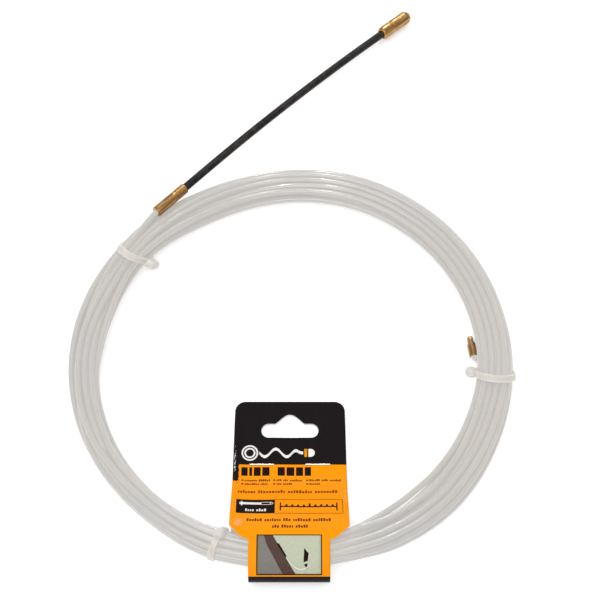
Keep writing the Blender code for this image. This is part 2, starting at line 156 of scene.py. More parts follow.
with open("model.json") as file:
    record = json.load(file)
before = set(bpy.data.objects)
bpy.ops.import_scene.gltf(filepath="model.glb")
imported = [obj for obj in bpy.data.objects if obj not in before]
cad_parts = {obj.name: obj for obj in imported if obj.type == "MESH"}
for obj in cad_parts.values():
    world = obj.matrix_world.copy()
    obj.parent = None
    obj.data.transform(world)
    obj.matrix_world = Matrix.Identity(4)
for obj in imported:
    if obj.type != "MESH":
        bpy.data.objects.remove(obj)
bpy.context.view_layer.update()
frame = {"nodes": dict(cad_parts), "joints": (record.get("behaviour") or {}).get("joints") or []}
swing = [joint for joint in frame["joints"] if joint["name"] == "card_swing"][0]
RING = Vector(swing["pos_m"]) - Vector((0.0, CARD_AXIS_Y, CARD_AXIS_Z)) * MM


def spot(point):
    """A point given in millimetres from the ring's centre, in the row frame."""
    return RING + Vector(point) * MM


# ---- small geometry helpers ----
def ease(t):
    return t * t * (3.0 - 2.0 * t)


def smooth(t):
    return ease(min(1.0, max(0.0, t)))


# The keys with a lap before and after them, so that the curve closes.
KEYS = [(key[0] + 360.0 * lap, *key[1:]) for lap in (-1, 0, 1) for key in SECTIONS]


def section(phi):
    """Half width, half height, middle height and outward shift of the bundle.

    A closed Catmull-Rom curve through the keys of SECTIONS.
    """
    phi = (phi - SECTIONS[0][0]) % 360.0 + SECTIONS[0][0]
    after_phi = [key[0] > phi for key in KEYS].index(True)
    before, here, there, after = KEYS[after_phi - 2:after_phi + 2]
    span = there[0] - here[0]
    t = (phi - here[0]) / span
    values = []
    for j in (1, 2, 3, 4):
        slope_in = (there[j] - before[j]) / (there[0] - before[0]) * span
        slope_out = (after[j] - here[j]) / (after[0] - here[0]) * span
        values.append(
            (2 * t ** 3 - 3 * t * t + 1) * here[j] + (t ** 3 - 2 * t * t + t) * slope_in
            + (3 * t * t - 2 * t ** 3) * there[j] + (t ** 3 - t * t) * slope_out)
    return values


def ring_radius(phi):
    oval = COIL_OVAL * math.cos(math.radians(2.0 * (phi - COIL_OVAL_AT)))
    return COIL_R + oval + section(phi)[3]


def ring_point(phi, outward=0.0, height=0.0):
    radius = ring_radius(phi) + outward
    a = math.radians(phi)
    return Vector((radius * math.cos(a), radius * math.sin(a), height))


def bezier(p0, p1, p2, p3, count):
    points = []
    for i in range(count + 1):
        t = i / count
        s = 1.0 - t
        points.append(p0 * s ** 3 + p1 * (3 * s * s * t) + p2 * (3 * s * t * t) + p3 * t ** 3)
    return points


def along(direction):
    """Rotation that turns +Z onto the direction, keeping local +X level."""
    z = direction.normalized()
    x = Vector((0.0, 0.0, 1.0)).cross(z)
    x = x.normalized() if x.length > 1e-6 else Vector((1.0, 0.0, 0.0))
    y = z.cross(x)
    return Matrix((x, y, z)).transposed().to_4x4()


def new_object(name, data):
    obj = bpy.data.objects.new(name, data)
    bpy.context.scene.collection.objects.link(obj)
    return obj


def new_mesh(name, verts, faces, material, sharp):
    """Mesh object from millimetre points in the ring's frame, shaded smooth."""
    mesh = bpy.data.meshes.new(name)
    mesh.from_pydata([tuple(spot(v)) for v in verts], [], faces)
    mesh.materials.append(material)
    mesh.update()
    mesh.shade_smooth()
    mesh.set_sharp_from_angle(angle=math.radians(sharp))
    return new_object(name, mesh)


def lathe(name, profile, origin, direction, steps, material, shape=None):
    """Turned piece from (radius, height) pairs; shape() may move each point."""
    turn = along(direction)
    verts = []
    faces = []
    rings = []
    for radius, height in profile:
        if radius < 1e-6:
            rings.append([len(verts)])
            verts.append(Vector((0.0, 0.0, height)))
            continue
        rings.append(list(range(len(verts), len(verts) + steps)))
        for i in range(steps):
            a = 2.0 * math.pi * i / steps
            point = Vector((radius * math.cos(a), radius * math.sin(a), height))
            verts.append(shape(point) if shape else point)
    for upper, lower in zip(rings, rings[1:]):
        for i in range(steps):
            j = (i + 1) % steps
            corners = [
                upper[i % len(upper)], lower[i % len(lower)],
                lower[j % len(lower)], upper[j % len(upper)]]
            face = list(dict.fromkeys(corners))
            if len(face) > 2:
                faces.append(face)
    placed = [origin + (turn @ v) for v in verts]
    return new_mesh(name, placed, faces, material, 35.0)


def curve_object(name, points, radius, resolution, material):
    """Round tube along a list of points, as a curve of one open spline."""
    curve = bpy.data.curves.new(name, "CURVE")
    curve.dimensions = "3D"
    curve.bevel_depth = radius * MM
    curve.bevel_resolution = resolution
    curve.use_fill_caps = True
    spline = curve.splines.new("POLY")
    spline.points.add(len(points) - 1)
    flat = []
    for point in points:
        flat += [*spot(point), 1.0]
    spline.points.foreach_set("co", flat)
    spline.use_smooth = True
    curve.materials.append(material)
    return new_object(name, curve)


def as_mesh(obj):
    """The same piece as a plain mesh object, its modifiers applied."""
    graph = bpy.context.evaluated_depsgraph_get()
    name = obj.name
    mesh = bpy.data.meshes.new_from_object(obj.evaluated_get(graph))
    bpy.data.objects.remove(obj, do_unlink=True)
    return new_object(name, mesh)


# ---- materials ----
INK_SPECULAR = 0.04


class Nodes:
    """Short names for building one Principled material."""

    def __init__(self, name, colour, roughness, metallic=0.0, specular=0.5):
        self.material = bpy.data.materials.new(name)
        self.material.use_nodes = True
        self.tree = self.material.node_tree
        self.shader = self.tree.nodes["Principled BSDF"]
        self.set("Base Color", (*colour, 1.0))
        self.set("Roughness", roughness)
        self.set("Metallic", metallic)
        self.set("Specular IOR Level", specular)

    def set(self, socket, value):
        self.shader.inputs[socket].default_value = value

    def link(self, output, socket):
        self.tree.links.new(output, self.shader.inputs[socket])

    def node(self, kind, values=None, **properties):
        made = self.tree.nodes.new(kind)
        for key, value in properties.items():
            setattr(made, key, value)
        for socket, value in (values or {}).items():
            if isinstance(value, bpy.types.NodeSocket):
                self.tree.links.new(value, made.inputs[socket])
            else:
                made.inputs[socket].default_value = value
        return made

    def stretch(self, where, scale):
        return self.node("ShaderNodeMapping", {"Vector": where, "Scale": scale}).outputs["Vector"]

    def place(self, scale=(1.0, 1.0, 1.0)):
        """Texture coordinates in metres, stretched by scale."""
        return self.stretch(self.node("ShaderNodeTexCoord").outputs["Object"], scale)

    def noise(self, where, scale, detail=3.0, rough=0.5):
        made = self.node(
            "ShaderNodeTexNoise", {"Vector": where, "Scale": scale, "Detail": detail, "Roughness": rough})
        return made.outputs["Fac"]

    def spread(self, value, low=0.0, high=1.0, from_low=0.3, from_high=0.7):
        """The value's middle range stretched onto low..high."""
        made = self.node("ShaderNodeMapRange", {
            "Value": value, "From Min": from_low, "From Max": from_high, "To Min": low, "To Max": high})
        return made.outputs["Result"]

    def math(self, operation, *values):
        made = self.node("ShaderNodeMath", dict(enumerate(values)), operation=operation)
        return made.outputs["Value"]

    def mix(self, share, *colours):
        """Blend of two colours; a mix node's colour sockets are its 7th and 8th."""
        values = {0: share}
        for index, colour in enumerate(colours, 6):
            plain = not isinstance(colour, bpy.types.NodeSocket)
            values[index] = (*colour, 1.0) if plain else colour
        return self.node("ShaderNodeMix", values, data_type="RGBA").outputs[2]

    def bump(self, height, distance, strength):
        made = self.node(
            "ShaderNodeBump", {"Height": height, "Distance": distance, "Strength": strength})
        return made.outputs["Normal"]


def nylon(name, colour, warm, painted_glow, strength, roughness):
    """Milky nylon, with a painted glow: emission that stands in for the light thick translucent nylon
    passes on.
    """
    n = Nodes(name, colour, roughness, specular=0.75)
    n.set("IOR", 1.5)
    n.set("Subsurface Weight", 1.0)
    n.set("Subsurface Radius", (1.0, 0.94, 0.86))
    n.set("Subsurface Scale", 0.0030)
    # Painted glow: emission that brightens the nylon and softens the shade between strands.
    n.set("Emission Color", (*painted_glow, 1.0))
    n.set("Emission Strength", strength)
    cloud = n.noise(n.place(), 26.0, 2.0)
    n.link(n.mix(n.spread(cloud), colour, warm), "Base Color")
    n.link(n.spread(n.noise(n.place(), 120.0, 2.0), roughness - 0.04, roughness + 0.06), "Roughness")
    n.link(n.bump(n.noise(n.place(), 160.0, 1.0), 0.00003, 0.4), "Normal")
    return n.material


def milky_nylon():
    # Low base colour with a painted glow of strength 0.32, which softens the shade between strands.
    return nylon(
        "milky_nylon", (0.225, 0.220, 0.215), (0.25, 0.230, 0.208), (1.0, 0.975, 0.94), 0.32, 0.12)


def tie_nylon():
    # The ties carry a painted glow too, of strength 0.22.
    return nylon("tie_nylon", (0.41, 0.385, 0.35), (0.37, 0.35, 0.32), (1.0, 0.965, 0.91), 0.22, 0.4)


def brass(name, direction, colour, dark):
    """Turned brass: fine lathe lines round the axis, dark bands along it that are painted reflection, and
    tarnish patches that are partly real mottling and partly painted dark reflection.
    """
    n = Nodes(name, colour, 0.24, 1.0)
    where = n.node(
        "ShaderNodeMapping",
        {"Vector": n.node("ShaderNodeTexCoord").outputs["Object"],
         "Rotation": along(direction).to_euler()},
        vector_type="TEXTURE").outputs["Vector"]
    cut = n.noise(n.stretch(where, (0.02, 0.02, 1.0)), 6000.0, 1.0)
    # Patches of tarnish, partly real mottling and partly painted dark reflection; they also vary the
    # roughness.
    tarnish_and_reflection_patches = n.noise(n.place(), 240.0, 3.0, 0.5)
    # Painted reflection: dark bands along the axis that stand in for the dark surroundings mirrored in
    # the brass.
    painted_reflection_band = n.noise(n.stretch(where, (1.0, 1.0, 0.12)), 620.0, 2.0, 0.4)
    tarnish_and_painted_reflection = n.mix(n.spread(tarnish_and_reflection_patches, 0.0, 0.55, 0.40, 0.66), colour, dark)
    n.link(n.mix(n.spread(painted_reflection_band, 0.0, 0.75, 0.44, 0.62), tarnish_and_painted_reflection, dark), "Base Color")
    n.link(n.spread(tarnish_and_reflection_patches, 0.27, 0.38), "Roughness")
    n.link(n.bump(cut, 0.000002, 0.15), "Normal")
    return n.material


def spring_steel():
    """Blackened spring wire, worn a little paler in places."""
    n = Nodes("spring_steel", (0.008, 0.007, 0.007), 0.34, specular=0.4)
    worn = n.noise(n.place(), 260.0, 4.0, 0.6)
    share = n.spread(worn, 0.0, 1.0, 0.45, 0.7)
    n.link(n.mix(share, (0.005, 0.0045, 0.0045), (0.042, 0.031, 0.024)), "Base Color")
    n.link(n.spread(worn, 0.26, 0.42), "Roughness")
    n.link(n.bump(n.noise(n.place(), 3000.0, 2.0), 0.00001, 0.5), "Normal")
    return n.material


def staple_steel():
    n = Nodes("staple_steel", (0.66, 0.66, 0.67), 0.28, 1.0)
    grain = n.noise(n.place(), 1200.0, 3.0)
    n.link(n.mix(grain, (0.60, 0.60, 0.61), (0.74, 0.74, 0.74)), "Base Color")
    n.link(n.spread(grain, 0.2, 0.4), "Roughness")
    return n.material


def ink(name, colour, roughness=0.42):
    """Printing ink on coated card, very slightly mottled."""
    n = Nodes(name, colour, roughness, specular=INK_SPECULAR)
    mottle = n.noise(n.place(), 800.0, 3.0)
    darker = tuple(0.88 * c for c in colour)
    n.link(n.mix(n.spread(mottle), colour, darker), "Base Color")
    n.link(n.spread(mottle, roughness - 0.05, roughness + 0.07), "Roughness")
    return n.material


def floor_white():
    n = Nodes("floor_white", (0.75, 0.75, 0.75), 0.8)
    n.set("Emission Color", (1.0, 1.0, 1.0, 1.0))
    n.set("Emission Strength", 0.36)
    n.link(n.mix(n.noise(n.place(), 6.0), (0.74, 0.74, 0.74), (0.76, 0.76, 0.76)), "Base Color")
    return n.material


# ---- the coiled tape ----
def slot_order(rng):
    """Slots of a close packing within a unit circle, each turn's mostly beside the last one's."""
    slots = np.array([(col + 0.5 * (row % 2), row * 0.866)
                      for row in range(-3, 4) for col in range(-3, 4)]) + (0.13, 0.07)
    slots = slots[np.argsort(np.hypot(slots[:, 0], slots[:, 1]))][:TURNS + 1]
    left = list(range(len(slots)))
    order = []
    current = int(np.argmax(slots[:, 0] + slots[:, 1]))
    while left:
        left.remove(current)
        order.append(current)
        if left:
            gap = np.hypot(*(slots[left] - slots[current]).T) + rng.uniform(0.0, 1.3, len(left))
            current = left[int(np.argmin(gap))]
    return slots[order] / np.max(np.hypot(slots[:, 0], slots[:, 1]))


def pack_strands():
    """Offsets (outward, up) of the one strand from the bundle's middle line.

    The strand is followed turn after turn through STATIONS places a turn. It
    wanders from slot to slot of a close packing, and is then smoothed while
    neighbouring turns push each other apart inside the bundle's section.
    Returns one row for each station passed, and the row where the tape starts.
    """
    rng = np.random.default_rng(LAY_SEED)
    step = 360.0 / STATIONS
    count = STATIONS * TURNS + 1
    rows = np.arange(count)
    station = rows % STATIONS
    angles = np.arange(STATIONS) * step
    shapes = np.array([section(a) for a in angles])
    reach_u = shapes[:, 0] - 0.5 * TAPE_D
    reach_w = shapes[:, 1] - 0.5 * TAPE_D
    middle = shapes[:, 2]
    # The section is round where it is held and squarer between.
    away = np.min(np.abs((angles[:, None] - np.array(HELD_AT) + 180.0) % 360.0 - 180.0), axis=1)
    power = (2.1 + 0.9 * np.clip(away / 25.0, 0.0, 1.0))[station]

    slots = slot_order(rng)
    turn = rows / STATIONS
    whole = np.clip(np.floor(turn).astype(int), 0, TURNS - 1)
    part = ease(turn - whole)[:, None]
    lay = slots[whole] * (1.0 - part) + slots[whole + 1] * part
    lay = lay * np.stack([reach_u[station], reach_w[station]], axis=1)
    wander = rng.normal(0.0, 0.5, (count // 30 + 3, 2))
    for axis in (0, 1):
        lay[:, axis] += np.interp(rows / 30.0, np.arange(len(wander)), wander[:, axis])

    # The tape starts on top of the bundle by the left tie and its tail leaves
    # the bundle low on the inner side, past the right tie.
    start = round(LAY_START / step)
    fixed = {start: (3.4, 12.6 - middle[start]), start + 1: (3.1, 12.5 - middle[start + 1])}
    for n in range(count - 1 - round(LAY_END / step), count):
        phi = n * step - 360.0 * TURNS
        fixed[n] = (-5.7 - 0.5 * max(0.0, phi + 3.0), 3.6 - section(phi)[2])
    fixed_at = np.array(list(fixed))
    fixed_to = np.array(list(fixed.values()))

    used = (np.arange(STATIONS * TURNS) >= start).reshape(TURNS, STATIONS)
    one, other = np.triu_indices(TURNS, 1)
    both = used[one] & used[other]
    for n in range(LAY_ROUNDS):
        late = n > LAY_ROUNDS - LAY_GENTLE
        pace = 0.12 if late else 0.5
        bend = np.zeros_like(lay)
        bend[1:-1] = 0.5 * (lay[:-2] + lay[2:]) - lay[1:-1]
        bend[:start + 1] = 0.0
        lay += pace * bend
        if n % 2 == 0:
            bend = np.zeros_like(lay)
            bend[3:-3] = 0.5 * (lay[:-6] + lay[6:]) - lay[3:-3]
            bend[:start + 4] = 0.0
            lay += 0.25 * pace * bend
        for _ in range(3 if late else 2):
            grid = lay[:-1].reshape(TURNS, STATIONS, 2)
            apart = grid[one] - grid[other]
            far = np.hypot(apart[..., 0], apart[..., 1]) + 1e-9
            push = np.where(both, np.clip(1.005 * TAPE_D - far, 0.0, None), 0.0)
            shift = apart * (0.4 * push / far)[..., None]
            moved = np.zeros_like(grid)
            np.add.at(moved, one, shift)
            np.add.at(moved, other, -shift)
            lay[:-1] += moved.reshape(-1, 2)
            out = (np.abs(lay[:, 0] / reach_u[station]) ** power
                   + np.abs(lay[:, 1] / reach_w[station]) ** power) ** (1.0 / power)
            pull = np.where(out > 1.0, 1.0 / out, 1.0) - 1.0
            lay *= (1.0 + pull * (0.7 if late else 0.8))[:, None]
            lay[:, 1] = np.maximum(lay[:, 1], 0.5 * TAPE_D - middle[station])
            lay[fixed_at] = fixed_to

    # Spread the strands sideways until they fill the section's width.
    across = np.where(used, lay[:-1, 0].reshape(TURNS, STATIONS), np.nan)
    inner = np.nanmin(across, axis=0)
    outer = np.nanmax(across, axis=0)
    for _ in range(12):
        inner = (np.roll(inner, 1) + inner + np.roll(inner, -1)) / 3.0
        outer = (np.roll(outer, 1) + outer + np.roll(outer, -1)) / 3.0
    stretch = (2.0 * reach_u / np.maximum(outer - inner, reach_u))[station]
    spread = (lay[:, 0] - inner[station]) * stretch - reach_u[station]
    free = np.min(np.abs(rows[:, None] - fixed_at), axis=1) / 10.0
    lay[:, 0] += (spread - lay[:, 0]) * ease(np.clip(free, 0.0, 1.0))
    return lay, start


def tape_route():
    """Points of the whole tape, from inside the ferrule to inside the eyelet."""
    lay, start = pack_strands()
    step = 360.0 / STATIONS
    ferrule_dir = (FERRULE_END - FERRULE_START).normalized()
    points = [FERRULE_START + ferrule_dir * d for d in (9.0, 6.0, 3.0)]
    coil = []
    for n in range(start, len(lay)):
        coil.append(ring_point(n * step, lay[n, 0], lay[n, 1] + section(n * step)[2]))
    first_dir = (coil[1] - coil[0]).normalized()
    points += bezier(
        FERRULE_START, FERRULE_START - ferrule_dir * 4.0,
        coil[0] - first_dir * 4.0, coil[0], 6)
    points += coil[1:]
    eye_dir = (EYELET_END - EYELET_START).normalized()
    last_dir = (coil[-1] - coil[-2]).normalized()
    points += bezier(
        coil[-1], coil[-1] + last_dir * 1.0,
        EYELET_START - eye_dir * 1.0, EYELET_START, 3)[1:]
    points.append(EYELET_START + eye_dir * 4.5)
    return points


def smooth_route(points, parts):
    """Catmull-Rom curve through the points, each stretch cut into parts."""
    made = []
    count = len(points)
    for i in range(count - 1):
        before = points[max(0, i - 1)]
        here = points[i]
        there = points[i + 1]
        after = points[min(count - 1, i + 2)]
        for k in range(parts):
            t = k / parts
            made.append(0.5 * (
                2.0 * here + (there - before) * t
                + (2.0 * before - 5.0 * here + 4.0 * there - after) * t * t
                + (3.0 * here - before - 3.0 * there + after) * t ** 3))
    made.append(points[-1])
    return made


def make_tape(material):
    tape = curve_object("tape", smooth_route(tape_route(), 2), 0.5 * TAPE_D, 4, material)
    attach(tape, "coil")
    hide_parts("tape_coil", "tape_lead", "tape_tail")
    return tape


# ---- leader ----
def make_ferrule(material):
    """Crimped sleeve: chamfered ends, a fine rolled line and two shallow pressed flats."""
    axis = FERRULE_END - FERRULE_START
    long = axis.length
    r = 0.5 * FERRULE_D
    groove = 0.68 * long
    bore = 0.5 * TAPE_D + 0.05
    spring_bore = 0.5 * SPRING_D + 0.05
    profile = [(spring_bore, long - 3.0), (spring_bore, long - 0.25), (spring_bore + 0.15, long)]
    profile += [(r - 0.3, long), (r - 0.08, long - 0.12), (r, long - 0.4)]
    height = long - 0.8
    while height > 0.7:
        dip = 0.10 * (1.0 - smooth((abs(height - groove) - 0.2) / 0.5))
        profile.append((r - dip, height))
        height -= 0.3
    profile += [(r, 0.4), (r - 0.08, 0.12), (r - 0.3, 0.0)]
    profile += [(bore + 0.12, 0.0), (bore, 0.2), (bore, 3.5)]

    jaw = Vector((math.cos(math.radians(62.0)), math.sin(math.radians(62.0)), 0.0))

    def pressed(point):
        """Jaw marks: flats pressed into two sides between groove and mouth."""
        share = smooth((point.z - 0.22 * long) / 1.2) * smooth((0.60 * long - point.z) / 1.2)
        if math.hypot(point.x, point.y) < 0.8 * r:
            return point
        for side in (-jaw, jaw):
            over = max(0.0, point.dot(side) - 0.90 * r)
            point = point - side * (over * 0.85 * share)
        return point

    sleeve = lathe("ferrule", profile, FERRULE_START, axis, 64, material, pressed)
    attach(sleeve, "coil")
    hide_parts("lead_ferrule")


def spring_knots():
    """Ends of the spring's hinged stretches, as in the part."""
    ferrule_dir = (FERRULE_END - FERRULE_START).normalized()
    start = FERRULE_END + ferrule_dir * SPRING_STRETCH
    chord = SPRING_END - start
    end_dir = 2.0 * chord * chord.dot(ferrule_dir) / chord.length_squared - ferrule_dir
    curve = bezier(
        start, start + ferrule_dir * (chord.length / 3.0),
        SPRING_END - end_dir * (chord.length / 3.0), SPRING_END, SPRING_PARTS - 1)
    return [FERRULE_END] + curve


def make_spring(material, knots):
    """One close-wound wire drawn smoothly through the hinges and cut in the middle of each stretch."""
    ferrule_dir = (FERRULE_END - FERRULE_START).normalized()
    tip_dir = (knots[-1] - knots[-2]).normalized()
    seat = SPRING_SOCKET - 0.5
    fine = smooth_route([knots[0] - ferrule_dir * seat, *knots, knots[-1] + tip_dir * seat], 12)
    far = [0.0]
    for a, b in zip(fine, fine[1:]):
        far.append(far[-1] + (b - a).length)
    total = far[-1]
    count = round(total / WIRE_PITCH * WIRE_SIDES)
    radius = 0.5 * (SPRING_D - WIRE_D)
    points = []
    index = 0
    for i in range(count + 1):
        at = total * i / count
        while index < len(far) - 2 and far[index + 1] < at:
            index += 1
        t = (at - far[index]) / (far[index + 1] - far[index])
        turn = along(fine[index + 1] - fine[index])
        a = 2.0 * math.pi * i / WIRE_SIDES
        out = Vector((radius * math.cos(a), radius * math.sin(a), 0.0))
        points.append(fine[index].lerp(fine[index + 1], t) + turn @ out)
    middles = [0.5 * (a + b) for a, b in zip(knots, knots[1:])]
    cuts = [0]
    for middle in middles:
        gaps = [(p - middle).length for p in fine]
        cuts.append(round(far[gaps.index(min(gaps))] / total * count))
    cuts.append(count)
    for k in range(SPRING_PARTS + 1):
        stretch = points[cuts[k]:cuts[k + 1] + 1]
        wire = as_mesh(curve_object("spring_wire_%d" % (k + 1), stretch, 0.5 * WIRE_D, 2, material))
        wire.data.shade_smooth()
        if k == 0:
            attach(wire, "coil")
            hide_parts("leader_spring_1")
        elif k == SPRING_PARTS:
            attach(wire, "leader_%d" % SPRING_PARTS)
        else:
            spot(middles[k - 1])
            spot(middles[k])
            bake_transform(wire)
            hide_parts("leader_spring_%d" % (k + 1))


def make_tip(material, knots):
    """Bullet nose with a rolled crimp behind it and a rounded lip at the back."""
    last = knots[-1] - knots[-2]
    r = 0.5 * TIP_D
    nose = 1.15 * r
    profile = [(0.0, TIP_LENGTH)]
    for i in range(1, 15):
        a = math.radians(90.0 - 90.0 * i / 14)
        profile.append((r * math.cos(a), TIP_LENGTH - nose + nose * math.sin(a)))
    profile += [(r, 14.0), (r, 11.0), (r, 8.6)]
    for i in range(13):
        t = i / 12
        profile.append((r - TIP_GROOVE * math.sin(math.pi * t) ** 0.8, 8.3 - 1.4 * t))
    profile += [(r, 6.2), (r, 3.6), (r, 1.9), (r - 0.05, 1.3), (r - 0.16, 0.8), (r - 0.36, 0.35)]
    profile += [(r - 0.65, 0.08), (r - 0.95, 0.0), (0.5 * SPRING_D + 0.15, 0.0)]
    profile += [(0.5 * SPRING_D + 0.05, 0.2), (0.5 * SPRING_D + 0.05, 4.0)]
    tip = lathe("bullet_tip", profile, knots[-1], last, 72, material)
    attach(tip, "leader_%d" % SPRING_PARTS)
    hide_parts("leader_tip")


# ---- eyelet ----
def make_eyelet(material):
    """Sleeve that flattens into a plate with a rounded end and a drilled eye."""
    axis = EYELET_END - EYELET_START
    long = axis.length
    r = 0.5 * EYELET_D
    sleeve = long - EYE_FLAT
    flat_from = sleeve + EYE_NECK
    start_round = long - r
    heights = [0.0, 0.1, 0.35]
    heights += [0.35 + (sleeve - 0.35) * i / 6 for i in range(1, 7)]
    heights += [sleeve + EYE_NECK * i / 6 for i in range(1, 7)]
    for i in range(1, 17):
        a = math.radians(90.0 * i / 16)
        heights.append(flat_from + (long - flat_from) * math.sin(a) * 0.9995)
    profile = [(0.0, heights[-1])] + [(r, height) for height in reversed(heights)] + [(0.0, 0.0)]

    def flattened(point):
        """Rounds the sleeve's mouth, and presses the far end into a round-ended plate."""
        flat = smooth((point.z - sleeve) / EYE_NECK)
        thin = r + (0.5 * EYE_PLATE - r) * flat
        wide = r
        edge = min(1.0, point.z / 0.35)
        lip = 0.3 * (1.0 - math.sqrt(max(0.0, 1.0 - (1.0 - edge) ** 2)))
        if point.z > start_round:
            wide = r * math.sqrt(max(0.0, 1.0 - ((point.z - start_round) / r) ** 2)) + 0.02
        power = 2.0 / (2.0 + 3.0 * flat)
        x = math.copysign(abs(point.x / r) ** power, point.x) * (thin - lip)
        y = math.copysign(abs(point.y / r) ** power, point.y) * (wide - lip)
        return Vector((x, y, point.z))

    eyelet = lathe("eyelet", profile, EYELET_START, axis, 48, material, flattened)
    bpy.ops.mesh.primitive_cylinder_add(vertices=40, radius=0.5 * EYE_HOLE * MM, depth=8.0 * MM)
    drill = bpy.context.active_object
    eye = EYELET_START + axis.normalized() * (long - r)
    drill.matrix_world = (
        Matrix.Translation(spot(eye)) @ along(axis) @ Matrix.Rotation(math.radians(90.0), 4, "Y"))
    cut = eyelet.modifiers.new("eye", "BOOLEAN")
    cut.object = drill
    cut.operation = "DIFFERENCE"
    cut.solver = "EXACT"
    eyelet = as_mesh(eyelet)
    bpy.data.objects.remove(drill, do_unlink=True)
    eyelet.data.set_sharp_from_angle(angle=math.radians(40.0))
    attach(eyelet, "coil")
    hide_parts("tail_eyelet")
    return eyelet


# ---- cable ties ----
def make_tie(name, phi, head_turn, slant, sweep, head_long, material):
    """Closed strap round the bundle and the head on it, both leaning by slant and sweep."""
    half_width, half_height, middle = section(phi)[:3]
    outward = ring_point(phi).normalized()
    up = Vector((0.0, 0.0, 1.0))
    across = outward.cross(up)
    centre = ring_point(phi, 0.0, middle)
    a = half_width + STRAP_GAP
    b = half_height + STRAP_GAP
    # Cross-section of the strap: (out of the loop, along the ring). A leaning
    # strap measures more along the ring than across itself.
    half = 0.5 * STRAP_WIDTH * math.sqrt(1.0 + slant ** 2 + sweep ** 2)
    edge = [
        (STRAP_THICK, half - 0.4), (STRAP_THICK - 0.1, half - 0.12),
        (STRAP_THICK - 0.3, half), (0.1, half), (0.0, half - 0.1)]
    profile = [(out, -side) for out, side in reversed(edge)] + [(STRAP_THICK - 0.06, 0.0)] + edge
    steps = 120
    verts = []
    for i in range(steps):
        t = 2.0 * math.pi * i / steps
        normal = Vector((math.cos(t) / a, math.sin(t) / b)).normalized()
        for out, side in profile:
            x = a * math.cos(t) + normal.x * out
            y = b * math.sin(t) + normal.y * out
            verts.append(centre + outward * x + up * y + across * (side + slant * y + sweep * x))
    size = len(profile)
    faces = []
    for i in range(steps):
        j = (i + 1) % steps
        for k in range(size):
            m = (k + 1) % size
            faces.append((i * size + k, j * size + k, j * size + m, i * size + m))
    strap = new_mesh(name + "_strap", verts, faces, material, 50.0)
    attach(strap, "coil")
    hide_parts(name)

    # Head: a rounded block on the outside of the strap.
    t = math.radians(head_turn)
    normal = Vector((math.cos(t) / a, math.sin(t) / b)).normalized()
    foot = Vector((a * math.cos(t), b * math.sin(t)))
    out_dir = outward * normal.x + up * normal.y
    side_dir = up * normal.x - outward * normal.y
    base = centre + outward * foot.x + up * foot.y
    bm = bmesh.new()
    bmesh.ops.create_cube(bm, size=1.0)
    for v in bm.verts:
        v.co = Vector((v.co.x * head_long, v.co.y * HEAD_TALL, v.co.z * HEAD_WIDE))
    bmesh.ops.bevel(
        bm, geom=bm.edges[:], offset=HEAD_ROUND, segments=8, profile=0.5, affect="EDGES",
        clamp_overlap=True)
    turn = Matrix((out_dir, side_dir, across)).transposed()
    verts = []
    for v in bm.verts:
        point = base + turn @ (v.co + Vector((0.5 * head_long - 0.3, 0.0, 0.0)))
        off = point - centre
        verts.append(point + across * (slant * off.z + sweep * off.dot(outward)))
    faces = [[v.index for v in f.verts] for f in bm.faces]
    bm.free()
    head = new_mesh(name + "_head", verts, faces, material, 60.0)
    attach(head, "coil")


# ---- hang card ----
def card_profile():
    """Middle line (y, z) of the folded card, from the front's top edge to the back's."""
    low_z = CARD_AXIS_Z - CARD_LOOP_HALF
    high_z = CARD_AXIS_Z + CARD_LOOP_HALF
    fold_y = CARD_AXIS_Y - 4.6
    fold_half = fold_y - CARD_FOLD_Y
    rise_from = CARD_STAPLE_Y - 2.5
    rise_to = CARD_AXIS_Y + 4.3
    line = [(CARD_TOP_Y, CARD_FRONT_Z), (rise_from, CARD_FRONT_Z)]
    for i in range(1, 41):
        t = i / 40
        rise = (high_z - CARD_FRONT_Z) * smooth(t)
        line.append((rise_from + (rise_to - rise_from) * t, CARD_FRONT_Z + rise))
    for i in range(41):
        a = math.radians(90.0 + 180.0 * i / 40)
        line.append((fold_y + fold_half * math.cos(a), CARD_AXIS_Z + CARD_LOOP_HALF * math.sin(a)))
    back_from = CARD_STAPLE_Y - 18.0
    line.append((back_from, low_z))
    for i in range(1, 13):
        t = i / 12
        line.append((back_from + 14.0 * t, low_z + (CARD_BACK_Z - low_z) * smooth(t)))
    line.append((CARD_TOP_Y, CARD_BACK_Z))
    return line


